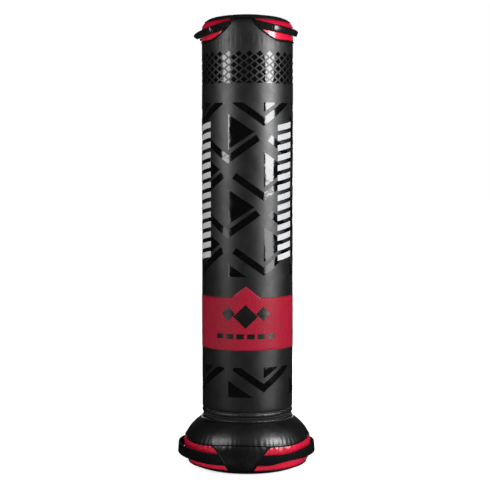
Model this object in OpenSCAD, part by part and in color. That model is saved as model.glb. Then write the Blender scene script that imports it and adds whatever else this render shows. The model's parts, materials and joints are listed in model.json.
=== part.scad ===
// Free-standing training bag: a padded column on a weighted round base, with four webbing handles.
// Millimetres. Z is up, the origin is the centre of the floor face, and the front faces -Y.

/* [Column] */
// Outer diameter of the column
column_d = 349; // [320:1:360]
// Height from the floor to the crown of the top panel
total_h = 1727; // [1500:1:1800]
// Thickness of the synthetic leather cover
cover_t = 2; // [1.5:0.1:2.5]
// Rise of the rounded top, from the end of the straight wall to the crown
crown_h = 72; // [60:1:80]
// Diameter of the rigid core tube
core_d = 220.4; // [200:0.2:224]
// Wall of the rigid core tube
core_wall = 6; // [4:0.5:8]

/* [Base] */
// Widest diameter of the base
base_d = 488; // [470:1:500]
// Diameter of the flat that rests on the floor
floor_d = 378; // [370:1:400]
// Height of the widest part of the base
base_wide_z = 90; // [85:1:95]
// Height of the seam between the skirt and the side panels
shoulder_z = 108; // [104:1:112]
// Height of the seam between the side panels and the bottom panel
hem_z = 18; // [15:1:20]
// Height at which the base has narrowed to the neck
neck_z = 194; // [190:1:198]
// Radius of the cover at the neck
neck_r = 170.4; // [168:0.2:172]

/* [Windows] */
// Height of the red windows under the top seam
top_window_h = 80; // [70:1:90]
// Half width of a top window, seen from the side
top_window_y = 169.5; // [164:0.5:171]
// Half angle of the front and back panels at the hem
panel_low_angle = 11.5; // [10:0.5:14]
// Half angle of the front and back panels at the shoulder seam
panel_high_angle = 26; // [22:0.5:33]

/* [Accent band] */
// Height of the lower edge of the accent band
band_z = 465; // [440:1:500]
// Height of the accent band
band_h = 199; // [180:1:220]
// Rise of each of the three peaks over the band
peak_h = 44; // [30:1:60]
// Half width of a peak
peak_w = 57; // [40:1:70]

/* [Top handles] */
// Width of the webbing of the top handles
top_strap_w = 28; // [25:1:34]
// Gap between the middle of a top handle and the cover
top_standoff = 18; // [14:1:22]
// Angle that a top handle hangs below level
top_droop = 10; // [6:1:20]
// Length of the padded grip on a top handle
grip_l = 350; // [280:5:360]

/* [Base handles] */
// Width of the webbing of the base handles
base_strap_w = 42; // [38:1:46]
// Gap between the middle of a base handle and the cover
base_standoff = 21; // [18:1:24]
// Angle that a base handle rises above level
base_rise = 6; // [0:1:8]

/* [Hidden] */
$fn = 180;

black = [0.06, 0.06, 0.07];
red = [0.72, 0.05, 0.10];
webbing = [0.03, 0.03, 0.03];
foam_grey = [0.45, 0.47, 0.50];
steel = [0.65, 0.66, 0.68];
ply = [0.72, 0.58, 0.40];
sand = [0.76, 0.69, 0.52];
plastic = [0.15, 0.15, 0.16];

LEFT = -1;
RIGHT = 1;
fit_gap = 0.3;                     // air left between nested layers
piping_rise = 1.8;                 // how far the windows' piping stands out of the cover
column_r = column_d / 2;
base_r = base_d / 2;
floor_r = floor_d / 2;
core_r = core_d / 2;
wall_top_z = total_h - crown_h;    // end of the straight wall
seam_t = 23.7;                     // parameter of the top seam on the crown curve
neck_top_z = neck_z + 33;          // lower hem of the column cover
foam_split_z = wall_top_z - 15;    // top of the column foam

// ---- outlines of the soft shapes ----

// Point of the crown curve: t is 0 at the wall and 90 at the crown, inset moves it inwards.
function crown_point(t, inset) = [
    (column_r - inset) * pow(cos(t), 2 / 3),
    wall_top_z + (crown_h - inset) * pow(sin(t), 0.4)
];
function crown_curve(from, to, inset, steps = 8) =
    [for (i = [0:steps]) crown_point(from + (to - from) * i / steps, inset)];

seam_z = crown_point(seam_t, 0)[1];
seam_r = crown_point(seam_t, 0)[0];

// Radius of the base at height z: a rounded bowl under the widest part and a bulging cone above it.
function low_share(z) = (base_wide_z - z) / base_wide_z;
function high_share(z) = (z - base_wide_z) / (neck_z - base_wide_z);
function base_radius(z) = z < base_wide_z
    ? floor_r + (base_r - floor_r) * (1 - pow(low_share(z), 5.2))
    : neck_r + (base_r - neck_r) * (1 - pow(min(1, high_share(z)), 2.15));
function base_curve(z0, z1, inset, steps) =
    [for (i = [0:steps]) let (z = z0 + (z1 - z0) * i / steps) [base_radius(z) - inset, z]];

function backwards(points) = [for (i = [len(points) - 1:-1:0]) points[i]];
function both_sides(points) =
    concat(points, [for (p = backwards(points)) [-p[0], p[1]]]);

// Side view of a top window, [y, z]: elliptical lower corners, and open at the top.
top_panel_angle = 14.5;            // half angle of the front and back strips under the top seam
function top_window_outline(grow, top) = both_sides(concat(
    [[seam_r * cos(top_panel_angle) + grow, top]],
    [for (t = [seam_t, 16, 9]) [
        crown_point(t, 0)[0] * cos(top_panel_angle) + grow,
        crown_point(t, 0)[1]
    ]],
    [for (a = [20:10:90]) [
        top_window_y - 56 + (56 + grow) * cos(a),
        seam_z - (top_window_h + grow) * sin(a)
    ]]
));

// Half angle of the front and back side panels at height z.
function panel_angle(z) = panel_low_angle
    + (panel_high_angle - panel_low_angle) * pow(max(0, z - hem_z) / (shoulder_z - hem_z), 1.3);
base_corner = 11;  // radius of a base window's upper corners

// Side view of a base window, [y, z], from seam to seam.
function base_window_side(z, grow) = base_radius(z) * cos(panel_angle(z)) + grow;
function base_window_outline(grow) =
    let (low = hem_z - 1, high = shoulder_z + 1, knee = high - base_corner)
    both_sides(concat(
        [for (i = [0:6]) let (z = low + (knee - low) * i / 6) [base_window_side(z, grow), z]],
        [for (a = [30:30:90]) [
            base_window_side(knee, grow) - base_corner * (1 - cos(a)),
            knee + base_corner * sin(a)
        ]]
    ));

// ---- small helpers ----

// A solid of revolution between two curves of [r, z] points.
module shell(outer, inner) {
    rotate_extrude() polygon(concat(outer, backwards(inner)));
}

module ring(r_in, r_out, z0, z1) {
    rotate_extrude() translate([r_in, z0]) square([r_out - r_in, z1 - z0]);
}

module cord_ring(r, z, cord_r) {
    rotate_extrude() translate([r, z]) circle(r = cord_r, $fn = 24);
}

// A prism along X with a [y, z] outline, on one side of the bag only.
module side_prism(outline, side) {
    mirror([side == LEFT ? 1 : 0, 0, 0])
        rotate([90, 0, 90]) translate([0, 0, 15]) linear_extrude(base_r) polygon(outline);
}

// ---- column ----

hem_curl = [[neck_r, neck_top_z], [column_r - 1.2, neck_top_z + 3], [column_r, neck_top_z + 8]];

module column_cover() color(black) difference() {
    shell(
        concat(hem_curl, [[column_r, wall_top_z]], crown_curve(2, seam_t, 0)),
        concat([for (p = hem_curl) [p[0] - cover_t, p[1]]],
               [[column_r - cover_t, wall_top_z]], crown_curve(2, seam_t, cover_t))
    );
    for (side = [LEFT, RIGHT]) side_prism(top_window_outline(0, total_h), side);
}

module top_window(side) color(red) intersection() {
    shell(
        concat([[column_r, wall_top_z - 40], [column_r, wall_top_z]], crown_curve(2, seam_t, 0)),
        concat([[column_r - cover_t, wall_top_z - 40], [column_r - cover_t, wall_top_z]],
               crown_curve(2, seam_t, cover_t))
    );
    side_prism(top_window_outline(-fit_gap, total_h), side);
}

module top_window_piping(side) color(black) difference() {
    intersection() {
        shell(
            concat([[column_r + piping_rise, wall_top_z - 40], [column_r + piping_rise, wall_top_z]],
                   crown_curve(2, seam_t - 2.5, -piping_rise)),
            concat([[column_r + 0.2, wall_top_z - 40], [column_r + 0.2, wall_top_z]],
                   crown_curve(2, seam_t - 2.5, -0.2))
        );
        side_prism(top_window_outline(2.5, total_h), side);
    }
    side_prism(top_window_outline(-2.5, total_h + 1), side);
}

module top_panel() color(black)
    shell(crown_curve(seam_t + 0.6, 90, 0, 14), crown_curve(seam_t + 0.6, 90, cover_t, 14));

module top_rim_piping() color(black) cord_ring(seam_r + 1.5, seam_z + 1.6, 1.6);

// A band round the column with three pointed peaks on its upper edge.
band_top = band_z + band_h;
print_turn = 3.7;                  // the printed front is turned a little to the right of the panels
module accent_band() color(red) rotate(print_turn) difference() {
    ring(column_r + 0.2, column_r + 0.9, band_z, band_top + peak_h);
    difference() {
        ring(column_r - 1, column_r + 2, band_top, band_top + peak_h + 1);
        for (turn = [0, 120, 240]) rotate(turn) rotate([90, 0, 0]) linear_extrude(base_r)
            polygon([[-peak_w, band_top], [-peak_w, band_top - 5], [peak_w, band_top - 5],
                     [peak_w, band_top], [0, band_top + peak_h]]);
    }
}

// ---- inside the column ----

core_foot_z = 33;                  // underside of the core tube, on its flange
core_top_z = foam_split_z - 40;
cap_t = 5;

module top_foam_pad() color(foam_grey) rotate_extrude() polygon(concat(
    [[0, core_top_z + cap_t + fit_gap], [core_r, core_top_z + cap_t + fit_gap],
     [core_r, foam_split_z + fit_gap], [column_r - cover_t - fit_gap, foam_split_z + fit_gap]],
    crown_curve(2, 90, cover_t + fit_gap, 16)
));

module impact_foam() color(foam_grey)
    ring(core_r + fit_gap, column_r - cover_t - fit_gap, neck_top_z + 9, foam_split_z);

module core_tube() color(plastic) ring(core_r - core_wall, core_r, core_foot_z + fit_gap, core_top_z);

module core_top_cap() color(plastic) {
    cap_r = core_r - core_wall - fit_gap;
    rotate_extrude() polygon([
        [0, core_top_z + fit_gap], [cap_r - 4, core_top_z + fit_gap], [cap_r - 4, core_top_z - 18],
        [cap_r, core_top_z - 18], [cap_r, core_top_z + fit_gap], [core_r, core_top_z + fit_gap],
        [core_r, core_top_z + cap_t], [0, core_top_z + cap_t]
    ]);
}

// ---- inside the base ----

board_z = 13;                      // underside of the plywood board
board_t = 12;
board_r = 186;
board_top = board_z + board_t;
bolt_count = 6;
bolt_pitch_r = 136;
bolt_r = 4;
flange_r = 152;
socket_top = 76;
ballast_r = 192;
ballast_top = 134;

module around_bolts() {
    for (i = [0:bolt_count - 1]) rotate(i * 360 / bolt_count) translate([bolt_pitch_r, 0, 0]) children();
}

module base_board() color(ply) difference() {
    translate([0, 0, board_z]) cylinder(r = board_r, h = board_t);
    around_bolts() cylinder(r = bolt_r + fit_gap, h = 60);
    around_bolts() cylinder(r = 9.3, h = board_z + 4);
}

// A disc with a socket ring that holds the foot of the core tube.
module core_flange() color(plastic) difference() {
    rotate_extrude() polygon([
        [0, board_top + 0.1], [flange_r, board_top + 0.1], [flange_r, core_foot_z - 1],
        [core_r + 7, core_foot_z - 1], [core_r + 7, socket_top], [core_r + 0.2, socket_top],
        [core_r + 0.2, core_foot_z], [0, core_foot_z]
    ]);
    around_bolts() cylinder(r = bolt_r + fit_gap, h = 60);
}

module flange_bolts() color(steel) around_bolts() union() {
    translate([0, 0, board_z + 0.3]) cylinder(r = 9, h = 3.2);
    translate([0, 0, board_z + 1]) cylinder(r = bolt_r, h = 28);
}

module flange_nuts() color(steel) around_bolts() difference() {
    translate([0, 0, core_foot_z - 0.8]) cylinder(r = 7.5, h = 6.5, $fn = 6);
    cylinder(r = bolt_r + 0.1, h = 60);
}

// Section of the sandbag: a ring that steps down past the flange onto the board.
function sandbag(inset) = [
    [core_r + 11 + inset, 43 + inset], [flange_r + 2 + inset, 43 + inset],
    [flange_r + 2 + inset, board_top + 3 + inset], [ballast_r - inset, board_top + 3 + inset],
    [ballast_r - inset, ballast_top - inset], [core_r + 11 + inset, ballast_top - inset]
];

module ballast_sand() color(sand) rotate_extrude() polygon(sandbag(2));

module ballast_liner() color(plastic) rotate_extrude() difference() {
    polygon(sandbag(0));
    polygon(sandbag(1.8));
}

module floor_pad() color(foam_grey)
    translate([0, 0, 3]) cylinder(r = board_r, h = board_z - 3.4);

module base_foam_ring() color(foam_grey) rotate_extrude() polygon(concat(
    [[ballast_r + 1, 6], [base_radius(6) - 4, 6]],
    base_curve(12, neck_z - 9, cover_t + 1.2, 12),
    [[neck_r - 6, neck_z - 7], [neck_r - 6, neck_top_z + 8],
     [core_r + fit_gap, neck_top_z + 8], [core_r + fit_gap, ballast_top + 1],
     [ballast_r + 1, ballast_top + 1]]
));

// ---- base cover ----

seam_gap = 2.4;                    // from the middle of a piping cord to the panels beside it

module base_skirt() color(black)
    shell(
        base_curve(shoulder_z + seam_gap, neck_z - 4.6, 0, 10),
        base_curve(shoulder_z + seam_gap, neck_z - 4.6, cover_t, 10)
    );

module base_wall() {
    shell(
        base_curve(hem_z + seam_gap, shoulder_z - seam_gap, 0, 10),
        base_curve(hem_z + seam_gap, shoulder_z - seam_gap, cover_t, 10)
    );
}

module base_side_panel(front) color(black) difference() {
    base_wall();
    for (side = [LEFT, RIGHT]) side_prism(base_window_outline(0), side);
    translate([-base_r, front ? 0 : -base_r, 0]) cube([base_d, base_r, base_r]);
}

module base_window(side) color(red) intersection() {
    base_wall();
    side_prism(base_window_outline(-fit_gap), side);
}

module base_window_piping(side) color(black) difference() {
    intersection() {
        shell(
            base_curve(hem_z + seam_gap, shoulder_z - seam_gap, -piping_rise, 10),
            base_curve(hem_z + seam_gap, shoulder_z - seam_gap, -0.2, 10)
        );
        side_prism(base_window_outline(2), side);
    }
    side_prism(base_window_outline(-2), side);
}

module base_shoulder_piping() color(black) cord_ring(base_radius(shoulder_z) + 0.6, shoulder_z, 1.7);

module base_hem_piping() color(black) cord_ring(base_radius(hem_z) + 1.2, hem_z, 2);

module base_bottom_panel() color(black) rotate_extrude() polygon(concat(
    [[0, 0]], [for (z = [0, 0.5, 2, 4, 7, 11, hem_z - 2.6]) [base_radius(z), z]],
    [for (z = [hem_z - 2.6, 11, 7, 4.5]) [base_radius(z) - 2.5, z]], [[floor_r, 2.6], [0, 2.6]]
));

// ---- neck and zip ----

zip_z = neck_z + 9.5;              // middle of the zip chain
zip_r = neck_r - 2.2;              // outer face of the zip tapes
chain_out = zip_r + 2.6;
chain_h = 5;
slider_h = 7.8;
slider_out = chain_out + 1.7;
slider_half_angle = 2.6;
slider_turn = 90;                  // the slider is parked at the back
lug_angle = 0.7;
garage_turn = 83;
pin_r = 1.1;
pin_at = chain_out + 4.6;          // distance of the pull's pin from the bag's axis
pin_z = zip_z - 1;
pull_drop = 45;                    // angle at which the pull hangs below level

// A soft rolled band with a flat back.
module roll(z, half_h, depth) rotate_extrude() polygon([
    for (a = [-90:15:90]) [zip_r + 0.4 + depth * cos(a), z + half_h * sin(a)]
]);

module neck_collar() color(black) roll(zip_z + 13.4, 9.3, 5.6);

module skirt_collar() color(black) roll(zip_z - 9.7, 5.6, 6.3);

module zipper_tapes() color(webbing) {
    ring(zip_r - 1, zip_r, zip_z - 15, zip_z - 0.6);
    ring(zip_r - 1, zip_r, zip_z + 0.6, zip_z + 15);
}

module zipper_chain() color(webbing)
    ring(zip_r + 0.1, chain_out, zip_z - chain_h / 2, zip_z + chain_h / 2);

// A patch over the two ends of the zip.
module zipper_garage() color(black) rotate(garage_turn - 2) rotate_extrude(angle = 4)
    translate([chain_out + 0.1, zip_z - 3.4]) square([1.5, 6.8]);

// A slider that is wrapped round the chain, with two lugs and a pin for the pull.
module zipper_slider() color(steel) rotate(slider_turn - slider_half_angle) {
    rotate_extrude(angle = 2 * slider_half_angle) polygon([
        [zip_r + 0.3, zip_z - slider_h / 2], [slider_out, zip_z - slider_h / 2],
        [slider_out, zip_z + slider_h / 2], [zip_r + 0.3, zip_z + slider_h / 2],
        [zip_r + 0.3, zip_z + chain_h / 2 + 0.3], [chain_out + 0.3, zip_z + chain_h / 2 + 0.3],
        [chain_out + 0.3, zip_z - chain_h / 2 - 0.3], [zip_r + 0.3, zip_z - chain_h / 2 - 0.3]
    ]);
    for (turn = [0, 2 * slider_half_angle - lug_angle]) rotate(turn)
        rotate_extrude(angle = lug_angle) translate([slider_out - 0.2, zip_z - 3]) square([5, 5]);
    rotate(slider_half_angle) translate([pin_at, 0, pin_z])
        rotate([90, 0, 0]) cylinder(r = pin_r, h = 14, center = true);
}

// A pull tab that hangs from the slider's pin over the skirt.
module zipper_pull() color(steel)
    rotate(slider_turn) translate([pin_at, 0, pin_z]) rotate([0, pull_drop, 0]) difference() {
        union() {
            rotate([90, 0, 0]) cylinder(r = 2.6, h = 9, center = true);
            translate([0, -4.5, -1]) cube([30, 9, 2]);
            translate([30, 0, -1]) cylinder(r = 4.5, h = 2);
        }
        rotate([90, 0, 0]) cylinder(r = pin_r + 0.2, h = 20, center = true);
        translate([28, 0, -2]) cylinder(r = 2, h = 4);
    }

// ---- handles ----

strap_t = 4;                       // doubled webbing
anchor_angle = 72;                 // of a top anchor, from the side of the bag
base_anchor_angle = 68;
top_pivot_z = seam_z - 25;         // height of the top handles' swing axes
base_pivot_z = 61;                 // height of the base handles' swing axes
top_pivot_r = column_r + 5;
base_pivot_r = base_r + 9;
top_free_start = 20;               // from the swing axis to the first free point of a strap
base_free_start = 10;

// [pivot x, pivot half span, reach of the strap's middle beyond the pivot]
function handle_plan(pivot_r, angle, wall_r, standoff, droop) = [
    pivot_r * cos(angle), pivot_r * sin(angle),
    (wall_r + standoff + strap_t / 2 - pivot_r * cos(angle)) / cos(droop)
];
top_plan = handle_plan(top_pivot_r, anchor_angle, column_r, top_standoff, top_droop);
base_plan = handle_plan(base_pivot_r, base_anchor_angle, base_r, base_standoff, -base_rise);
function arc_radius(plan) = (plan[1] * plan[1] + plan[2] * plan[2]) / (2 * plan[2]);
function free_half_angle(plan, start) = acos((arc_radius(plan) - plan[2] + start) / arc_radius(plan));

// An arc of webbing or grip, centred on +X and tilted down about the line through its two anchors.
module handle_arc(plan, pivot_z, droop, half_angle, side) {
    mirror([side == LEFT ? 1 : 0, 0, 0])
        translate([plan[0], 0, pivot_z]) rotate([0, droop, 0])
        translate([plan[2] - arc_radius(plan), 0, 0]) rotate(-half_angle)
        rotate_extrude(angle = 2 * half_angle) translate([arc_radius(plan), 0]) children();
}

module strap_section(w) square([strap_t, w], center = true);

module top_strap(side) color(webbing)
    handle_arc(top_plan, top_pivot_z, top_droop, free_half_angle(top_plan, top_free_start), side)
        strap_section(top_strap_w);

module base_strap(side) color(webbing)
    handle_arc(base_plan, base_pivot_z, -base_rise, free_half_angle(base_plan, base_free_start), side)
        strap_section(base_strap_w);

module top_grip(side) color(plastic)
    handle_arc(top_plan, top_pivot_z, top_droop, grip_l / 2 / arc_radius(top_plan) * 180 / PI, side)
        difference() {
            square([strap_t + 5, top_strap_w + 5], center = true);
            square([strap_t + 0.4, top_strap_w + 0.4], center = true);
        }

// The sewn ends of one handle: two short tabs that leave the window's seams and follow the wall.
module anchor_tabs(angle, side, half_angle, face, back) mirror([side == LEFT ? 1 : 0, 0, 0])
    for (end = [-1, 1]) rotate(end * angle - half_angle)
        rotate_extrude(angle = 2 * half_angle) polygon(concat(face, backwards(back)));

tab_back = piping_rise + fit_gap;  // the tabs cross over the piping
tab_face = tab_back + 1.3;
function crown_t(z) = asin(pow((z - wall_top_z) / crown_h, 2.5));
function top_tab(inset) = crown_curve(
    crown_t(top_pivot_z - top_strap_w / 2), crown_t(top_pivot_z + top_strap_w / 2 - 3), inset, 5);
function base_tab(inset) =
    base_curve(base_pivot_z - base_strap_w / 2, base_pivot_z + base_strap_w / 2, inset, 5);

module top_anchors(side) color(webbing)
    anchor_tabs(anchor_angle, side, 1.8, top_tab(-tab_face), top_tab(-tab_back));

module base_anchors(side) color(webbing)
    anchor_tabs(base_anchor_angle + 0.8, side, 1.8, base_tab(-tab_face), base_tab(-tab_back));

// ---- nodes ----

column_cover();
accent_band();
top_panel();
top_rim_piping();
top_window(LEFT);  // top_window_left
top_window(RIGHT);  // top_window_right
top_window_piping(LEFT);  // top_window_piping_left
top_window_piping(RIGHT);  // top_window_piping_right
top_foam_pad();
impact_foam();
core_tube();
core_top_cap();
core_flange();
base_board();
flange_bolts();
flange_nuts();
ballast_liner();
ballast_sand();
floor_pad();
base_foam_ring();
base_skirt();
base_side_panel(true);  // base_side_panel_front
base_side_panel(false);  // base_side_panel_back
base_window(LEFT);  // base_window_left
base_window(RIGHT);  // base_window_right
base_window_piping(LEFT);  // base_window_piping_left
base_window_piping(RIGHT);  // base_window_piping_right
base_shoulder_piping();
base_hem_piping();
base_bottom_panel();
neck_collar();
skirt_collar();
zipper_tapes();
zipper_chain();
zipper_garage();
zipper_slider();
zipper_pull();
top_strap(LEFT);  // top_handle_left_strap
top_strap(RIGHT);  // top_handle_right_strap
base_strap(LEFT);  // base_handle_left_strap
base_strap(RIGHT);  // base_handle_right_strap
top_grip(LEFT);  // top_handle_left_grip
top_grip(RIGHT);  // top_handle_right_grip
top_anchors(LEFT);  // top_handle_left_anchors
top_anchors(RIGHT);  // top_handle_right_anchors
base_anchors(LEFT);  // base_handle_left_anchors
base_anchors(RIGHT);  // base_handle_right_anchors
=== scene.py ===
import json
import math

import bmesh
import bpy
import numpy as np
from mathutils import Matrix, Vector

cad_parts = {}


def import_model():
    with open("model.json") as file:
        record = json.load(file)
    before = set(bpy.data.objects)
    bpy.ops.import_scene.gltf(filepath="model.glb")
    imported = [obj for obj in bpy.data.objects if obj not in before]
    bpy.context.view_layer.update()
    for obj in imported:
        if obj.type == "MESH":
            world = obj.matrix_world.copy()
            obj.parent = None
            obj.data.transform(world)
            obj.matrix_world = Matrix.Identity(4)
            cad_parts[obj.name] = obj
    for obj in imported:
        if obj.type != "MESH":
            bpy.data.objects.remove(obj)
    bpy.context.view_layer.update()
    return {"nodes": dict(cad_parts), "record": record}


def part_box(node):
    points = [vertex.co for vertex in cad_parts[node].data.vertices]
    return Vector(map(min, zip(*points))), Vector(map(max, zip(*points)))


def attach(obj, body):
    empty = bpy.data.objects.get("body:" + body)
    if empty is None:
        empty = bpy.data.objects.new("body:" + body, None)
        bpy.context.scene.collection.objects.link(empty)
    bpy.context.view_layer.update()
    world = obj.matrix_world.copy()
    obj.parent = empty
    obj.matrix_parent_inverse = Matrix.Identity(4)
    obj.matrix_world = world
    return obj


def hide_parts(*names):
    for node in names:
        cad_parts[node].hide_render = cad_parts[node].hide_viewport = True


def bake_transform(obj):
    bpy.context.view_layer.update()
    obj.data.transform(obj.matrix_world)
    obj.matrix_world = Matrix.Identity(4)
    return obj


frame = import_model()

scene = bpy.context.scene
JOINTS = {j["name"]: j for j in frame["record"]["behaviour"]["joints"]}
rad = math.radians


# ---- shader nodes ----

def set_inputs(node, values):
    """Gives inputs, by name or number, a value each, or a link where the value is a socket."""
    for key, value in values.items():
        if isinstance(value, bpy.types.NodeSocket):
            node.id_data.links.new(value, node.inputs[key])
        else:
            node.inputs[key].default_value = value


def add_node(tree, kind, values):
    node = tree.nodes.new(f"ShaderNode{kind}")
    set_inputs(node, values)
    return node


def color_ramp(tree, value, stops):
    """Turns a value into a colour; stops are two pairs of a position and a colour."""
    node = add_node(tree, "ValToRGB", {"Fac": value})
    for element, (position, color) in zip(node.color_ramp.elements, stops):
        element.position = position
        element.color = (*color, 1)
    return node.outputs["Color"]


# ---- camera and light ----

def add_camera():
    """Eye level at 1.2 m, 5.4 m away, 6 degrees to the right of the front."""
    data = bpy.data.cameras.new("camera")
    data.sensor_width = 36
    data.lens = 102.49
    camera = bpy.data.objects.new("camera", data)
    scene.collection.objects.link(camera)
    camera.location = (5.37 * math.sin(rad(6)), -5.37 * math.cos(rad(6)), 1.2055)
    camera.rotation_euler = (rad(90 - 3.773), 0, rad(6.0986))
    scene.camera = camera


def softbox(name, azimuth, distance, width, height, z, radiance):
    """An area light that faces the column from an azimuth measured from the front towards +X."""
    data = bpy.data.lights.new(name, "AREA")
    data.shape = "RECTANGLE"
    data.size = width
    data.size_y = height
    data.energy = 4 * width * height * radiance
    light = bpy.data.objects.new(name, data)
    scene.collection.objects.link(light)
    at = Vector((distance * math.sin(rad(azimuth)), -distance * math.cos(rad(azimuth)), z))
    light.location = at
    aim = Vector((0, 0, min(z, 1.0))) - at
    light.rotation_euler = aim.to_track_quat("-Z", "Y").to_euler()
    light.visible_camera = False


def add_world():
    """White behind the object, and a dim grey that lights it."""
    world = bpy.data.worlds.new("studio")
    scene.world = world
    world.use_nodes = True
    tree = world.node_tree
    tree.nodes.clear()
    dim = add_node(tree, "Background", {"Color": (1, 1, 1, 1), "Strength": 0.012})
    white = add_node(tree, "Background", {"Color": (1, 1, 1, 1), "Strength": 1.0})
    seen = add_node(tree, "LightPath", {}).outputs["Is Camera Ray"]
    mix = add_node(tree, "MixShader", {0: seen, 1: dim.outputs[0], 2: white.outputs[0]})
    add_node(tree, "OutputWorld", {"Surface": mix.outputs[0]})


add_camera()
add_world()
softbox("key_left", -47, 2.5, 0.80, 1.3, 1.75, 7.5)
softbox("key_right", 62, 2.5, 1.05, 1.5, 1.70, 13.5)
softbox("low_left", -47, 2.5, 0.80, 0.8, 0.70, 1.8)
softbox("low_right", 62, 2.5, 1.05, 0.8, 0.55, 4.5)
softbox("back_light", 186, 3.2, 1.6, 1.9, 1.5, 3)
scene.view_settings.view_transform = "Standard"


# ---- materials ----

class Paint:
    """A procedural material that is built up from a Principled shader."""

    def __init__(self, name, color, roughness, metallic=0.0, specular=0.5, coat=0.0, sheen=0.0):
        self.material = bpy.data.materials.new(name)
        self.material.use_nodes = True
        self.tree = self.material.node_tree
        self.shader = self.tree.nodes["Principled BSDF"]
        set_inputs(self.shader, {
            "Base Color": (*color, 1), "Roughness": roughness, "Metallic": metallic,
            "Specular IOR Level": specular, "Sheen Weight": sheen,
            "Coat Weight": coat, "Coat Roughness": 0.12,
        })
        self.color = color
        self.roughness = roughness
        self.coords = add_node(self.tree, "TexCoord", {}).outputs
        self.height = None

    def noise(self, scale, detail=3, stretch=None):
        place = self.coords["Object"]
        if stretch is not None:
            place = add_node(self.tree, "Mapping", {"Scale": stretch, "Vector": place}).outputs["Vector"]
        node = add_node(self.tree, "TexNoise", {"Scale": scale, "Detail": detail, "Vector": place})
        return node.outputs["Fac"]

    def cells(self, scale):
        node = add_node(self.tree, "TexVoronoi", {"Scale": scale, "Vector": self.coords["Object"]})
        return node.outputs["Distance"]

    def wave(self, scale, direction):
        node = add_node(self.tree, "TexWave", {"Scale": scale, "Vector": self.coords["UV"]})
        node.bands_direction = direction
        return node.outputs["Fac"]

    def times(self, a, b):
        node = add_node(self.tree, "Math", {0: a, 1: b})
        node.operation = "MULTIPLY"
        return node.outputs[0]

    def vary_color(self, value, other, sharp=0.2):
        """Turns the colour towards another one where value is high."""
        color = color_ramp(self.tree, value, ((0.5 - sharp, self.color), (0.5 + sharp, other)))
        set_inputs(self.shader, {"Base Color": color})

    def vary_roughness(self, value, spread):
        node = add_node(self.tree, "MapRange", {
            "Value": value, "From Min": 0.3, "From Max": 0.7,
            "To Min": self.roughness - spread, "To Max": self.roughness + spread,
        })
        set_inputs(self.shader, {"Roughness": node.outputs["Result"]})

    def bump(self, value, distance):
        """Adds one layer of relief; distance is its height in metres."""
        node = add_node(self.tree, "Bump", {"Height": value, "Distance": distance, "Strength": 1.0})
        if self.height is not None:
            set_inputs(node, {"Normal": self.height})
        self.height = node.outputs["Normal"]
        set_inputs(self.shader, {"Normal": self.height})


def vinyl(name, color, other, roughness, grain=0.00005, **more):
    """Coated synthetic leather: fine pebbled grain, soft waves, uneven gloss."""
    paint = Paint(name, color, roughness, **more)
    paint.vary_color(paint.noise(7, 5), other)
    paint.vary_roughness(paint.noise(22, 4), 0.05)
    paint.bump(paint.noise(34, 3), 0.0006)
    paint.bump(paint.cells(620), grain)
    return paint.material


def webbing_paint(name, color, other):
    """Woven webbing: ribs across and fine threads along, from the strap's own coordinates."""
    paint = Paint(name, color, 0.66, specular=0.12)
    weave = paint.times(paint.wave(150, "X"), paint.wave(190, "Y"))
    paint.vary_color(weave, other)
    paint.vary_roughness(paint.noise(60, 4), 0.08)
    paint.bump(weave, 0.0005)
    paint.bump(paint.noise(900, 2), 0.0001)
    return paint.material


def plain_paint(name, color, other, roughness, grain_scale, grain, stretch=None, **more):
    """A hard or foamed surface with its own grain."""
    paint = Paint(name, color, roughness, **more)
    paint.vary_color(paint.noise(grain_scale / 6, 5, stretch), other)
    paint.vary_roughness(paint.noise(grain_scale / 10, 3), 0.06)
    paint.bump(paint.noise(grain_scale, 4, stretch), grain)
    return paint.material


def red_print_paint():
    """Printed red vinyl with an embossed diamond weave."""
    paint = Paint("red_print", (0.185, 0.003, 0.013), 0.40, specular=0.15)
    lattice = paint.times(paint.wave(26, "X"), paint.wave(26, "Y"))
    paint.vary_color(lattice, (0.29, 0.007, 0.025), sharp=0.45)
    paint.vary_roughness(paint.noise(60, 4), 0.08)
    paint.bump(paint.noise(34, 3), 0.0005)
    paint.bump(lattice, 0.0006)
    return paint.material


BLACK_VINYL = vinyl("black_vinyl", (0.0018, 0.0019, 0.0022), (0.0028, 0.0029, 0.0032), 0.45, specular=0.65)
BASE_VINYL = vinyl("base_vinyl", (0.0015, 0.0015, 0.0018), (0.0025, 0.0025, 0.0028), 0.5, specular=0.2)
# The crown's vinyl is the black vinyl painted about five times lighter. This is painted light, so the domed
# top reads grey as if it caught the light.
CROWN_VINYL_PAINTED_LIGHT = vinyl("crown_vinyl_painted_light", (0.009, 0.009, 0.010), (0.012, 0.012, 0.013), 0.45, specular=0.65)
SKIRT_VINYL = vinyl("skirt_vinyl", (0.0018, 0.0018, 0.0022), (0.0028, 0.0028, 0.0032), 0.36, specular=0.75)
RED_VINYL = vinyl("red_vinyl", (0.42, 0.004, 0.024), (0.49, 0.007, 0.034), 0.22, coat=0.4)
PIPING = vinyl("piping", (0.0015, 0.0015, 0.0018), (0.0025, 0.0025, 0.003), 0.42, grain=0.00002,
               specular=0.15)
GLOSS_PRINT = vinyl("gloss_print", (0.0012, 0.0012, 0.0014), (0.002, 0.002, 0.0022), 0.10, grain=0.000008,
                    specular=0.6)
WHITE_PRINT = vinyl("white_print", (0.31, 0.32, 0.33), (0.38, 0.39, 0.40), 0.42, grain=0.00002)
BLACK_PRINT = vinyl("black_print", (0.003, 0.003, 0.0035), (0.005, 0.005, 0.0055), 0.30, grain=0.00002)
GRIP_VINYL = vinyl("grip_vinyl", (0.003, 0.003, 0.0035), (0.005, 0.005, 0.0055), 0.22, grain=0.00002)
RED_PRINT = red_print_paint()
WEBBING = webbing_paint("webbing", (0.0014, 0.0014, 0.0017), (0.0035, 0.0035, 0.0040))
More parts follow.
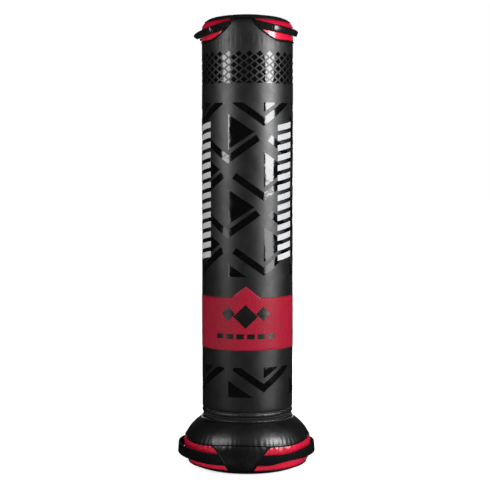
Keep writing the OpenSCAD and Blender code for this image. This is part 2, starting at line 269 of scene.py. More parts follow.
THREAD = plain_paint("thread", (0.004, 0.004, 0.0045), (0.008, 0.008, 0.0085), 0.6, 2500, 0.0001,
                     specular=0.2)
FOAM = plain_paint("foam", (0.30, 0.32, 0.34), (0.40, 0.42, 0.44), 0.9, 700, 0.0006)
CORE_PLASTIC = plain_paint("core_plastic", (0.04, 0.04, 0.045), (0.06, 0.06, 0.065), 0.45, 400, 0.0001)
PLYWOOD = plain_paint("plywood", (0.50, 0.34, 0.18), (0.62, 0.46, 0.28), 0.6, 160, 0.0003, stretch=(1, 9, 9))
ZINC_STEEL = plain_paint("zinc_steel", (0.58, 0.58, 0.56), (0.48, 0.48, 0.47), 0.32, 500, 0.00004,
                         metallic=1.0)
LINER_FILM = plain_paint("liner_film", (0.05, 0.05, 0.055), (0.08, 0.08, 0.085), 0.28, 60, 0.001)
DRY_SAND = plain_paint("dry_sand", (0.52, 0.42, 0.28), (0.70, 0.60, 0.42), 0.95, 1500, 0.0006)
ZIP_TAPE = plain_paint("zip_tape", (0.008, 0.008, 0.009), (0.014, 0.014, 0.015), 0.75, 1400, 0.0002,
                       sheen=0.2)
ZIP_TEETH = plain_paint("zip_teeth", (0.003, 0.003, 0.0035), (0.005, 0.005, 0.0055), 0.4, 800, 0.00003,
                        specular=0.2)
BLACK_METAL = plain_paint("black_metal", (0.02, 0.02, 0.022), (0.035, 0.035, 0.036), 0.28, 700, 0.00003,
                          metallic=0.6)


# ---- mesh helpers ----

def polar(azimuth, radius, z):
    """Points at an azimuth from the front towards +X."""
    azimuth, radius, z = np.broadcast_arrays(azimuth, radius, z)
    return np.stack([radius * np.sin(azimuth), -radius * np.cos(azimuth), z], axis=-1)


def new_object(name, points, faces, paint, uvs=None):
    """A smooth mesh; uvs holds one pair for each point."""
    mesh = bpy.data.meshes.new(name)
    mesh.from_pydata([tuple(p) for p in points], [], [tuple(int(i) for i in f) for f in faces])
    if uvs is not None:
        layer = mesh.uv_layers.new(name="surface")
        corners = np.zeros(len(mesh.loops), dtype=np.int64)
        mesh.loops.foreach_get("vertex_index", corners)
        layer.data.foreach_set("uv", np.asarray(uvs, float)[corners].ravel())
    mesh.update()
    return link_object(name, mesh, paint)


def link_object(name, mesh, paint):
    mesh.materials.append(paint)
    mesh.polygons.foreach_set("use_smooth", [True] * len(mesh.polygons))
    obj = bpy.data.objects.new(name, mesh)
    scene.collection.objects.link(obj)
    return obj


def grid_faces(rows, columns, closed, first=0):
    """Four-sided faces between rows of points that are numbered from first."""
    at = first + np.arange(rows * columns).reshape(rows, columns)
    if closed:
        at = np.concatenate([at, at[:, :1]], axis=1)
    return np.stack([at[:-1, :-1], at[:-1, 1:], at[1:, 1:], at[1:, :-1]], axis=-1).reshape(-1, 4)


def grid_object(name, points, paint, closed=False, uvs=None):
    rows, columns = points.shape[:2]
    flat_uvs = None if uvs is None else uvs.reshape(-1, 2)
    return new_object(name, points.reshape(-1, 3), grid_faces(rows, columns, closed), paint, flat_uvs)


def ring_faces(rows, sides):
    """Faces that join the last row of a closed grid to its first."""
    last = (rows - 1) * sides + np.arange(sides)
    first = np.arange(sides)
    return np.stack([last, np.roll(last, -1), np.roll(first, -1), first], axis=-1)


def thicken(obj, thickness):
    """Gives a shell its thickness, inwards from the modelled face."""
    solid = obj.modifiers.new("thickness", "SOLIDIFY")
    solid.thickness = thickness
    solid.offset = -1


def finish_piece(obj, body, nodes=()):
    """Puts a piece on its body, and hides the CAD parts it stands for."""
    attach(obj, body)
    if nodes:
        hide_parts(*nodes)


def unit(vectors):
    return vectors / np.maximum(np.linalg.norm(vectors, axis=-1, keepdims=True), 1e-12)


def along(path, closed):
    """Unit tangents of a path of points."""
    if closed:
        return unit(np.roll(path, -1, axis=0) - np.roll(path, 1, axis=0))
    return unit(np.gradient(path, axis=0))


def tube(name, path, radius, paint, closed, sides=10):
    """A cord along a path that lies on the bag."""
    tangent = along(path, closed)
    outward = unit(path * [1, 1, 0])
    outward = unit(outward - tangent * np.sum(outward * tangent, axis=1, keepdims=True))
    sideways = np.cross(tangent, outward)
    turn = np.arange(sides) * 2 * np.pi / sides
    offsets = np.cos(turn)[None, :, None] * outward[:, None] + np.sin(turn)[None, :, None] * sideways[:, None]
    rings = path[:, None] + radius * offsets
    count = len(path)
    faces = grid_faces(count, sides, True)
    if closed:
        faces = np.concatenate([faces, ring_faces(count, sides)])
        return new_object(name, rings.reshape(-1, 3), faces[:, ::-1], paint)
    caps = [list(range(sides)), [(count - 1) * sides + i for i in reversed(range(sides))]]
    outward = [list(f[::-1]) for f in faces] + [c[::-1] for c in caps]
    return new_object(name, rings.reshape(-1, 3), outward, paint)


def resample(path, step):
    """The same path with evenly spaced points."""
    lengths = np.concatenate([[0], np.cumsum(np.linalg.norm(np.diff(path, axis=0), axis=1))])
    count = max(2, int(round(lengths[-1] / step)) + 1)
    wanted = np.linspace(0, lengths[-1], count)
    return np.stack([np.interp(wanted, lengths, path[:, i]) for i in range(3)], axis=-1)


def stitches(name, rows, length=0.0034, pitch=0.0052, radius=0.00045):
    """Rows of thread: one short rounded stitch after another along each path."""
    points, faces = [], []
    ring = np.arange(6) * np.pi / 3
    for path in rows:
        spots = resample(path, pitch)
        tangent = along(spots, False)
        outward = unit(spots * [1, 1, 0])
        sideways = np.cross(tangent, outward)
        for at, t, o, s in zip(spots, tangent, outward, sideways):
            first = len(points)
            for place, size in ((-0.5, 0.35), (-0.3, 1.0), (0.3, 1.0), (0.5, 0.35)):
                for a in ring:
                    around = math.cos(a) * o + math.sin(a) * s
                    points.append(at + t * place * length + size * radius * around)
            for k in range(3):
                for i in range(6):
                    j = (i + 1) % 6
                    low = first + 6 * k
                    faces.append((low + i, low + 6 + i, low + 6 + j, low + j))
            faces.append(tuple(first + i for i in range(6)))
            faces.append(tuple(first + 18 + i for i in reversed(range(6))))
    return new_object(name, points, faces, THREAD)


def ripple(azimuth, z, waves):
    """A sum of waves (height, turns round the bag, turns per metre of height, start)."""
    total = 0.0
    for height, turns, rise, start in waves:
        total = total + height * np.sin(turns * azimuth + rise * 2 * np.pi * z + start)
    return total


def folds(azimuth, seed, count):
    """Uneven folds round the bag, between -1 and 1."""
    sway = 0.9 * np.sin(3 * azimuth + seed) + 0.7 * np.sin(7 * azimuth + 2.1 * seed)
    sway = sway + 0.4 * np.sin(13 * azimuth - seed)
    main = np.sin(count * azimuth + 2.2 * sway)
    fine = np.sin((2 * count + 5) * azimuth - 3.1 * sway + seed)
    share = 0.5 + 0.5 * np.sin(5 * azimuth + 1.7 * seed + sway)
    return (0.75 * main + 0.35 * fine) * (0.45 + 0.55 * share)


# ---- outlines, as in the CAD source ----

COLUMN_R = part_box("column_cover")[1].x
CROWN_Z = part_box("top_panel")[1].z
WALL_TOP_Z = CROWN_Z - 0.072
SEAM_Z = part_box("column_cover")[1].z
NECK_TOP_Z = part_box("column_cover")[0].z
BASE_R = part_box("base_window_right")[1].x
HEM_Z = 0.018
SHOULDER_Z = 0.108
NECK_Z = 0.194
NECK_R = 0.1704
ROLL_INNER_R = 0.1686
FLOOR_R = 0.189
WIDE_Z = 0.090
WINDOW_LOW_Z = SEAM_Z - 0.080
PRINT_TURN = rad(3.7)


def crown_radius(z):
    """Radius of the rounded top of the column at height z."""
    rise = np.clip((z - WALL_TOP_Z) / (CROWN_Z - WALL_TOP_Z), 0, 1) ** 2.5
    return COLUMN_R * np.cos(np.arcsin(np.clip(rise, 0, 1))) ** (2 / 3)


def base_radius(z):
    """Radius of the base at height z: a steep outward curve, then the shoulder up to the neck."""
    z = np.asarray(z, float)
    low = FLOOR_R + (BASE_R - FLOOR_R) * (1 - np.clip((WIDE_Z - z) / WIDE_Z, 0, 1) ** 5.2)
    high = NECK_R + (BASE_R - NECK_R) * (1 - np.clip((z - WIDE_Z) / (NECK_Z - WIDE_Z), 0, 1) ** 2.15)
    return np.where(z < WIDE_Z, low, high)


SIDE_SAG = 0.009


def sagged(points):
    """The crown's seam hangs a little lower at the two sides than at the front and back."""
    points = np.asarray(points, float)
    radius = np.hypot(points[..., 0], points[..., 1])
    side = (points[..., 0] / np.maximum(radius, 1e-6)) ** 2
    height_share = np.clip((points[..., 2] - WALL_TOP_Z) / (SEAM_Z - WALL_TOP_Z), 0, 1)
    share = height_share * np.clip(radius / COLUMN_R, 0, 1) ** 4
    return points - (SIDE_SAG * side * share)[..., None] * [0, 0, 1]


def seam_shift(azimuth, z):
    """How far the base's shoulder seam, and the cloth beside it, rises at the front, back and sides."""
    near = np.minimum((z - HEM_Z) / (SHOULDER_Z - HEM_Z), (NECK_Z - z) / (NECK_Z - SHOULDER_Z))
    return 0.005 * (1 + np.cos(4 * np.asarray(azimuth))) * np.clip(near, 0, 1)


def cover_radius(azimuth, z):
    """The column's face, with the slight waves of a cover over foam."""
    soft = ripple(azimuth, z, (
        (0.00035, 2, 1.3, 0.4), (0.00025, 3, -2.1, 1.9), (0.00018, 5, 3.2, 0.8),
        (0.00012, 9, -5.3, 2.7), (0.00008, 14, 7.9, 1.1),
    ))
    pucker = 0.0005 * folds(azimuth, 1.3, 61) * np.exp(-np.abs(z - WINDOW_LOW_Z) / 0.018)
    return crown_radius(z) + soft + pucker


def strip_half_angle(z):
    """Half angle of the front and back strips beside the top windows."""
    drop = np.clip((SEAM_Z - z) / (SEAM_Z - WINDOW_LOW_Z), 0, 1)
    side = 0.1122 + 0.0573 * np.sqrt(1 - drop ** 2)
    return np.maximum(rad(14.5), np.arccos(np.clip(side / crown_radius(z), -1, 1)))


def panel_half_angle(z):
    """Half angle of the base's front and back panels, with the windows' rounded corners."""
    rise = np.clip((z - HEM_Z) / (SHOULDER_Z - HEM_Z), 0, 1)
    side = base_radius(z) * np.cos(np.radians(11.5 + 14.5 * rise ** 1.3))
    over = np.clip(z - 0.098, 0, 0.0109)
    side = side - (0.011 - np.sqrt(0.011 ** 2 - over ** 2))
    return np.arccos(side / base_radius(z))


def panel_edge(z):
    """Half angle at which the base's webbing comes out from under the panels' piping."""
    return panel_half_angle(z - 0.004) - 0.010


# ---- column cover ----

def window_rows(count=26):
    """Heights from the top windows' lower edge to the seam, closer together at the rounded corner."""
    return SEAM_Z - (SEAM_Z - WINDOW_LOW_Z) * np.sin(np.linspace(np.pi / 2, 0, count))


def column_cover():
    """The tube with its curled lower edge, and the two strips that run up between the windows."""
    curl_z = NECK_TOP_Z + np.array([0.0, 0.0008, 0.0025, 0.005, 0.008])
    curl_r = np.array([NECK_R, COLUMN_R - 0.0028, COLUMN_R - 0.0013, COLUMN_R - 0.0004, COLUMN_R])
    wall_z = np.linspace(NECK_TOP_Z + 0.018, WINDOW_LOW_Z, 120)
    azimuth = np.radians(np.arange(360))
    curl = polar(azimuth[None], curl_r[:, None], curl_z[:, None])
    wall = polar(azimuth[None], cover_radius(azimuth[None], wall_z[:, None]), wall_z[:, None])
    tube_points = np.concatenate([curl, wall])
    rows = len(tube_points)
    points = [tube_points.reshape(-1, 3)]
    faces = [grid_faces(rows, 360, True)]
    total = rows * 360
    for middle in (0, 180):
        z = window_rows()[1:]
        spread = np.linspace(-1, 1, 101)
        strip_azimuth = rad(middle) + spread[None] * strip_half_angle(z)[:, None]
        strip = polar(strip_azimuth, cover_radius(strip_azimuth, z[:, None]), z[:, None])
        points.append(sagged(strip).reshape(-1, 3))
        faces.append(grid_faces(len(z), 101, False, total))
        below = (rows - 1) * 360 + (middle + np.arange(-50, 51)) % 360
        above = total + np.arange(101)
        faces.append(np.stack([below[:-1], below[1:], above[1:], above[:-1]], axis=-1))
        total += len(z) * 101
    cover = new_object("column_cover_sewn", np.concatenate(points), np.concatenate(faces), BLACK_VINYL)
    thicken(cover, 0.002)
    finish_piece(cover, "bag", ["column_cover"])


def window_side(side, spread, z):
    """Azimuth inside a top window: spread is -1 at the front edge and 1 at the back edge."""
    return side * (np.pi / 2 + spread * (np.pi / 2 - strip_half_angle(z)))


def top_window(side, label):
    """A swollen red panel, and the cord and the row of thread that follow its edge."""
    z = window_rows(30)
    spread = np.linspace(-1, 1, 111) * side
    azimuth = window_side(side, spread[None], z[:, None])
    edge = np.minimum(1 - np.abs(spread)[None], (z - WINDOW_LOW_Z)[:, None] / 0.08 * 2)
    edge = np.minimum(edge, (SEAM_Z - z)[:, None] / 0.08 * 2)
    swell = 0.0016 * np.clip(edge / 0.3, 0, 1) ** 0.6
    pucker = 0.0006 * folds(azimuth, 2.2, 47) * np.exp(-np.clip(edge, 0, 1) / 0.16)
    radius = crown_radius(z)[:, None] - 0.0006 + swell + pucker
    window = grid_object(f"top_window_{label}_vinyl", sagged(polar(azimuth, radius, z[:, None])), RED_VINYL)
    thicken(window, 0.0018)
    finish_piece(window, "bag", [f"top_window_{label}"])

    turn = np.linspace(0, np.pi / 2, 40)
    down = SEAM_Z - 0.001 - (SEAM_Z - WINDOW_LOW_Z - 0.001) * np.sin(turn)
    front = side * strip_half_angle(down)
    bottom = np.linspace(front[-1], side * np.pi - front[-1], 120)[1:-1]
    loop_azimuth = np.concatenate([front, bottom, side * np.pi - front[::-1]])
    loop_z = np.concatenate([down, np.full(len(bottom), WINDOW_LOW_Z), down[::-1]])
    path = resample(sagged(polar(loop_azimuth, crown_radius(loop_z) - 0.0010, loop_z)), 0.003)
    cord = tube(f"top_window_piping_{label}_cord", path, 0.0040, PIPING, closed=False)
    finish_piece(cord, "bag", [f"top_window_piping_{label}"])

    inner = crown_radius(loop_z)
    shift = 0.0065
    z_low = np.maximum(loop_z - shift * (loop_z < WINDOW_LOW_Z + 0.03), WINDOW_LOW_Z - shift)
    beside = loop_z > WINDOW_LOW_Z + 0.002
    az_out = loop_azimuth - np.sign(np.cos(loop_azimuth)) * side * shift / COLUMN_R * beside
    row = sagged(polar(az_out, np.maximum(inner, crown_radius(z_low)) + 0.0003, z_low))[4:-4]
    finish_piece(stitches(f"top_window_stitches_{label}", [row]), "bag")


def top_panel():
    """The domed top, puckered beside its seam, and the piping in that seam."""
    t = np.radians(np.concatenate([np.linspace(24.0, 60, 16), np.linspace(62, 89.6, 20)]))
    radius = COLUMN_R * np.cos(t) ** (2 / 3)
    rise = (np.sin(t) ** 0.4 - np.sin(t[0]) ** 0.4) / (1 - np.sin(t[0]) ** 0.4)
    z = SEAM_Z + (CROWN_Z - SEAM_Z) * rise ** 0.8
    azimuth = np.radians(np.arange(0, 360, 1.5))
    outer = np.clip((radius / radius[0]) ** 6, 0, 1)[:, None]
    off_seam = np.clip((1 - radius / radius[0]) * 30, 0, 1)[:, None]
    lift = 0.0011 * folds(azimuth[None], 0.7, 53) * outer * off_seam
    waves = ((0.0005, 2, 3, 0.5), (0.0004, 3, 6, 2.0), (0.0003, 5, 9, 1.2))
    soft = ripple(azimuth[None], radius[:, None], waves)
    points = polar(azimuth[None], radius[:, None], z[:, None] + lift + soft * (1 - outer) - 0.0006)
    rows, columns = points.shape[:2]
    flat = np.concatenate([points.reshape(-1, 3), [[0, 0, float(points[-1, :, 2].mean())]]])
    faces = [tuple(f) for f in grid_faces(rows, columns, True)]
    last = (rows - 1) * columns
    faces += [(last + i, last + (i + 1) % columns, rows * columns) for i in range(columns)]
    # The top panel takes the lighter crown paint, which is painted light.
    panel = new_object("top_panel_vinyl", sagged(flat), faces, CROWN_VINYL_PAINTED_LIGHT)
    thicken(panel, 0.002)
    finish_piece(panel, "bag", ["top_panel"])
    seam_r = float(crown_radius(SEAM_Z))
    azimuth = np.radians(np.arange(0, 360, 1))
    path = sagged(polar(azimuth, seam_r - 0.0012, SEAM_Z + 0.0006))
    rim = tube("top_rim_piping_cord", path, 0.0022, PIPING, closed=True)
    finish_piece(rim, "bag", ["top_rim_piping"])


def top_foam_pad():
    """The soft pad that fills the crown, sagging with it."""
    low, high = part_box("top_foam_pad")
    core_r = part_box("core_tube")[1].x
    wall_r = COLUMN_R - 0.0035
    t = np.radians(np.linspace(4, 86, 24))
    dome_r = wall_r * np.cos(t) ** (2 / 3)
    dome_z = WALL_TOP_Z - 0.0030 + (high.z - WALL_TOP_Z) * np.sin(t) ** 0.4
    radius = np.concatenate([[0.001, core_r, core_r, wall_r, wall_r], dome_r, [0.001]])
    core_z = [low.z, low.z, low.z + 0.035, low.z + 0.035, WALL_TOP_Z - 0.003]
    z = np.concatenate([core_z, dome_z, [high.z - 0.003]])
    azimuth = np.radians(np.arange(0, 360, 3))
    dent = 0.0008 * folds(azimuth[None], 4.0, 17) * (radius > 0.02)[:, None]
    points = sagged(polar(azimuth[None], radius[:, None] - np.abs(dent), z[:, None]))
    pad = grid_object("top_foam_pad_soft", points, FOAM, closed=True)
    finish_piece(pad, "bag", ["top_foam_pad"])


# ---- prints ----

SHEET_R = 0.171  # the printed sheet's measurements are for this radius, and stretch to the column's girth


def clip_polygon(polygon, low, high):
    """The part of a convex [s, z] polygon between two heights."""
    for limit, way in ((low, 1), (high, -1)):
        kept = []
        for i, p in enumerate(polygon):
            q = polygon[(i + 1) % len(polygon)]
            p_in = way * (p[1] - limit) >= 0
            q_in = way * (q[1] - limit) >= 0
            if p_in:
                kept.append(p)
            if p_in != q_in:
                share = (limit - p[1]) / (q[1] - p[1])
                kept.append((p[0] + share * (q[0] - p[0]), limit))
        polygon = kept
        if len(polygon) < 3:
            return []
    return polygon


def wrap_print(name, polygons, paint, lift, step=0.009):
    """Flat shapes [s along the girth, z] that are cut into small faces and laid on the cover."""
    bm = bmesh.new()
    for polygon in polygons:
        if len(polygon) >= 3:
            bm.faces.new([bm.verts.new((s, z, 0)) for s, z in polygon])
    bmesh.ops.recalc_face_normals(bm, faces=bm.faces)
    for axis in (0, 1):
        reach = [v.co[axis] for v in bm.verts]
        for place in np.arange(math.ceil(min(reach) / step) * step, max(reach), step):
            point, normal = Vector(), Vector()
            point[axis], normal[axis] = place, 1
            bmesh.ops.bisect_plane(
                bm, geom=bm.verts[:] + bm.edges[:] + bm.faces[:], dist=1e-7, plane_co=point, plane_no=normal
            )
    for face in bm.faces:
        if face.normal.z < 0:
            face.normal_flip()
    for v in bm.verts:
        azimuth = v.co.x / SHEET_R + PRINT_TURN
        z = v.co.y
        radius = float(cover_radius(azimuth, z)) + lift
        v.co = Vector((radius * math.sin(azimuth), -radius * math.cos(azimuth), z))
    mesh = bpy.data.meshes.new(name)
    bm.to_mesh(mesh)
    bm.free()
    finish_piece(link_object(name, mesh, paint), "bag")


def arm(s, z, reach, slope, thick):
    """One arm of a chevron whose outer corner is at (s, z); reach is negative to the left."""
    angle = math.atan(slope)
    side = math.copysign(1, reach)
    end = (s + reach, z + abs(reach) * slope)
    across = (-side * thick * math.sin(angle), thick * math.cos(angle))
    return [(s, z), end, (end[0] + across[0], end[1] + across[1]), (s, z + thick / math.cos(angle))]


PITCH = 2 * math.pi * SHEET_R / 8


def chevron_print():
    """Two fields of glossy chevrons and triangles, in staggered columns."""
    shapes = []
    fields = (
        (0.742, 1.393, ([0.606, 0.886, 1.166], [0.466, 0.746, 1.026, 1.306])),
        (0.287, 0.400, ([0.166, 0.446], [0.306])),
    )
    for low, high, columns in fields:
        for k in range(8):
            s = -0.066 + PITCH * k
            for z in columns[k % 2]:
                parts = [
                    arm(s, z, 0.120, 0.72, 0.026),
                    arm(s, z, -0.118, 0.72, 0.026),
                    [(s, z + 0.0515), (s + 0.099, z + 0.118), (s, z + 0.1845)],
                ]
                shapes += [clip_polygon(p, low, high) for p in parts]
    wrap_print("chevron_print", shapes, GLOSS_PRINT, 0.0003)


def diamond_print():
    """Rows of small glossy diamonds below the windows."""
    shapes = []
    step = 2 * math.pi * SHEET_R / 28
    for k in range(56):
        s = k * step / 2 - 0.063
        first = 1.465 if k % 2 == 0 else 1.4785
        for row in range(5 if k % 2 == 0 else 4):
            z = first + 0.027 * row
            diamond = [(s - 0.0125, z), (s, z - 0.0112), (s + 0.0125, z), (s, z + 0.0112)]
            shapes.append(clip_polygon(diamond, 1.465, 1.60))
    wrap_print("diamond_print", shapes, GLOSS_PRINT, 0.0003)


def white_bars():
    """Three columns of plain slanted bars."""
    shapes = []
    for turn in (-63.5, 56.5, 176.5):
        middle = SHEET_R * rad(turn)
        for i in range(14):
            z = 0.800 + 0.0375 * i
            shapes.append([(middle - 0.041, z), (middle + 0.041, z + 0.014),
                           (middle + 0.041, z + 0.036), (middle - 0.041, z + 0.022)])
    wrap_print("white_bar_print", shapes, WHITE_PRINT, 0.0006)


DIAMONDS = (  # middle along the girth, middle height, half width, half height
    (0, 0.593, 0.046, 0.045), (-0.066, 0.603, 0.027, 0.028), (0.066, 0.603, 0.027, 0.028),
)


def accent_band():
    """The red band with its three peaks, and three diamonds above six blocks under each peak."""
    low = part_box("accent_band")[0].z
    high = low + 0.199
    azimuth = PRINT_TURN + np.radians(np.arange(180, 540, 0.5))
    s = ((azimuth - PRINT_TURN + np.pi / 3) % (2 * np.pi / 3) - np.pi / 3) * COLUMN_R
    edge = high + 0.044 * np.clip(1 - np.abs(s) / 0.057, 0, 1)
    share = np.linspace(0, 1, 24)[:, None]
    z = low + share * (edge[None] - low)
    radius = cover_radius(azimuth[None], z) + 0.0007
    run = azimuth[None] * COLUMN_R
    lattice = np.stack([run + z, run - z], axis=-1)
    points = polar(azimuth[None], radius, z)
    band = grid_object("accent_band_print", points, RED_PRINT, closed=True, uvs=lattice)
    thicken(band, 0.0006)
    finish_piece(band, "bag", ["accent_band"])
    shapes = []
    for turn in (0, 120, 240):
        middle = SHEET_R * rad(turn)
        for s, z, w, h in DIAMONDS:
            side = middle + s
            shapes.append([(side - w, z), (side, z - h), (side + w, z), (side, z + h)])
        for i in range(6):
            s = middle + (i - 2.5) * 0.040
            shapes.append([(s - 0.014, 0.508), (s + 0.014, 0.508), (s + 0.014, 0.527), (s - 0.014, 0.527)])
    wrap_print("band_emblem_print", shapes, BLACK_PRINT, 0.0010)


# ---- base cover ----

EDGES = (0, 40, 180, 220, 360)


def base_azimuth(z):
    """Azimuth of each of the 360 columns at heights z: 40 in each panel and 140 in each window."""
    z = np.atleast_1d(z)
    up = np.clip((z - SHOULDER_Z) / (NECK_Z - SHOULDER_Z), 0, 1)
    half = panel_half_angle(np.minimum(z, SHOULDER_Z)) * (1 - up) + rad(20) * up
    column = np.arange(360)
    table = np.stack([-half, half, np.pi - half, np.pi + half, 2 * np.pi - half], axis=-1)
    return np.stack([np.interp(column, EDGES, line) for line in table])


def settle(points, pinned, pressure, slack, cap):
    """Runs a cloth simulation on a closed ring of rows, and returns where it comes to rest."""
    rows, columns = points.shape[:2]
    cloth_object = grid_object("settling", points, BLACK_VINYL, closed=True)
    group = cloth_object.vertex_groups.new(name="sewn")
    for index in np.flatnonzero(pinned.ravel()):
        group.add([int(index)], 1.0, "REPLACE")
    cloth = cloth_object.modifiers.new("cloth", "CLOTH")
    settings = cloth.settings
    settings.quality = 6
    settings.mass = 0.2
    settings.tension_stiffness = 12
    settings.compression_stiffness = 12
    settings.shear_stiffness = 4
    settings.bending_stiffness = 0.4
    settings.tension_damping = 8
    settings.compression_damping = 8
    settings.shear_damping = 8
    settings.effector_weights.gravity = 0
    settings.vertex_group_mass = "sewn"
    settings.use_pressure = True
    settings.uniform_pressure_force = pressure
    settings.shrink_min = -slack
    cloth.point_cache.frame_start = 1
    cloth.point_cache.frame_end = 20
    for step in range(1, 21):
        scene.frame_set(step)
    graph = bpy.context.evaluated_depsgraph_get()
    settled = cloth_object.evaluated_get(graph).to_mesh()
    moved = np.zeros(rows * columns * 3)
    settled.vertices.foreach_get("co", moved)
    cloth_object.evaluated_get(graph).to_mesh_clear()
    bpy.data.objects.remove(cloth_object)
    scene.frame_set(1)
    shift = moved.reshape(points.shape) - points
    outward = unit(points * [1, 1, 0])
    swell = np.sum(shift * outward, axis=-1).mean(axis=1)
    along_out = np.sum(shift * outward, axis=-1, keepdims=True)
    wrinkle = np.clip(along_out - swell[:, None, None], -0.0004, cap)
    sideways = shift - along_out * outward
    size = np.linalg.norm(sideways, axis=-1, keepdims=True)
    return points + wrinkle * outward + sideways * np.minimum(1, cap / np.maximum(size, 1e-9))


def base_cover():
    """The skirt, panels and windows as one settled cloth, and the piping and thread along its seams."""
    wall_z = np.concatenate([np.linspace(HEM_Z, 0.096, 20), np.linspace(0.0985, SHOULDER_Z, 6)])
    skirt_z = np.linspace(SHOULDER_Z, NECK_Z - 0.0046, 28)[1:]
    z = np.concatenate([wall_z, skirt_z])
    shoulder = len(wall_z) - 1
    azimuth = base_azimuth(z)
    height = z[:, None] + seam_shift(azimuth, z[:, None])
    from_shoulder = np.abs(z - SHOULDER_Z)[:, None]
    start = base_radius(height) - 0.0012 + 0.0004 * folds(azimuth, 0.9, 83) * np.exp(-from_shoulder / 0.02)
    rows = polar(azimuth, start, height)
    sewn = np.zeros(rows.shape[:2], bool)
    sewn[[0, shoulder, -1]] = True
    for edge in EDGES[:-1]:
        sewn[:shoulder, edge] = True
    settled = settle(rows, sewn, pressure=1.5, slack=0.03, cap=0.004)
    calm = np.where(z > SHOULDER_Z, 0.12 + 0.88 * np.exp(-(z - SHOULDER_Z) / 0.014), 1.0)
    settled = rows + (settled - rows) * calm[:, None, None]
    below = np.clip(SHOULDER_Z - z, 0, 1)[:, None] / 0.012
    gathers = 0.0011 * (1 + folds(azimuth, 1.7, 57)) * below * np.exp(1 - below)
    settled = settled + polar(azimuth, gathers, np.zeros_like(height))

    skirt = grid_object("base_skirt_vinyl", settled[shoulder:], SKIRT_VINYL, closed=True)
    thicken(skirt, 0.0018)
    finish_piece(skirt, "bag", ["base_skirt"])
    closed_rows = np.concatenate([settled, settled[:, :1]], axis=1)[:shoulder + 1]
    walls = (
        ("base_side_panel_front", 0, 40, SKIRT_VINYL, "black_vinyl"),
        ("base_window_right", 40, 180, RED_VINYL, "red_vinyl"),
        ("base_side_panel_back", 180, 220, SKIRT_VINYL, "black_vinyl"),
        ("base_window_left", 220, 360, RED_VINYL, "red_vinyl"),
    )
    for name, first, last, paint, slot in walls:
        wall = grid_object(f"{name}_vinyl", closed_rows[:, first:last + 1], paint)
        thicken(wall, 0.0018)
        finish_piece(wall, "bag", [name])

    around = base_azimuth(SHOULDER_Z)[0]
    tilt = 0.0005 * folds(around, 2.6, 37)
    seam = SHOULDER_Z + seam_shift(around, SHOULDER_Z) + tilt
    cord = polar(around, base_radius(seam) + 0.0002 + tilt, seam)
    piping = tube("base_shoulder_piping_cord", cord, 0.0024, PIPING, closed=True)
    finish_piece(piping, "bag", ["base_shoulder_piping"])
    around = np.radians(np.arange(360))
    tilt = 0.0005 * folds(around, 1.6, 31)
    cord = polar(around, base_radius(HEM_Z) + 0.0006 + tilt, HEM_Z - 0.0005 + tilt)
    piping = tube("base_hem_piping_cord", cord, 0.0026, PIPING, closed=True)
    finish_piece(piping, "bag", ["base_hem_piping"])
    for label, side in (("left", -1), ("right", 1)):
        cords = []
        z = np.linspace(HEM_Z, SHOULDER_Z, 40)
        for back in (False, True):
            half = panel_half_angle(z)
            turn = np.pi - half if back else half
            height = z + seam_shift(turn, z)
            cords.append(resample(polar(side * turn, base_radius(height) - 0.0006, height), 0.003))
        pieces = [tube(f"base_window_piping_{label}_{i}", c, 0.0031, PIPING, closed=False)
                  for i, c in enumerate(cords)]
        for piece in pieces:
            finish_piece(piece, "bag")
        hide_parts(f"base_window_piping_{label}")
    rows = []
    around = np.radians(np.arange(0, 361, 1.5))
    for z in (SHOULDER_Z + 0.0075, SHOULDER_Z - 0.0075):
        height = z + seam_shift(around, z)
        rows.append(polar(around, base_radius(height) + 0.0004, height))
    finish_piece(stitches("base_shoulder_stitches", rows), "bag")


def bottom_panel():
    """The flat floor face, and the edge that turns up to the hem."""
    z = np.array([0.0002, 0.0008, 0.002, 0.004, 0.007, 0.011, 0.0155, 0.0175])
    azimuth = np.radians(np.arange(0, 360, 1.0))
    above_hem = np.clip(z[:, None] / 0.006, 0, 1) * np.clip((0.0176 - z[:, None]) / 0.004, 0, 1)
    pleat = 0.0011 * folds(azimuth[None], 3.1, 71) * above_hem
    side = polar(azimuth[None], base_radius(z)[:, None] + pleat, z[:, None])
    radii = FLOOR_R * np.array([0.1, 0.3, 0.5, 0.7, 0.85, 0.95, 1.0])
    under = polar(azimuth[None], radii[:, None], 0.0001)
    points = np.concatenate([under, side])
    rows, columns = points.shape[:2]
    flat = np.concatenate([points.reshape(-1, 3), [[0, 0, 0.0001]]])
    faces = [tuple(f) for f in grid_faces(rows, columns, True)]
    faces += [((i + 1) % columns, i, rows * columns) for i in range(columns)]
    panel = new_object("base_bottom_panel_vinyl", flat, faces, BASE_VINYL)
    thicken(panel, 0.0018)
    finish_piece(panel, "bag", ["base_bottom_panel"])


# ---- neck and zip ----

ROLL_TRIM = 0.0012  # off each roll's half height, which keeps it clear of the zip slider


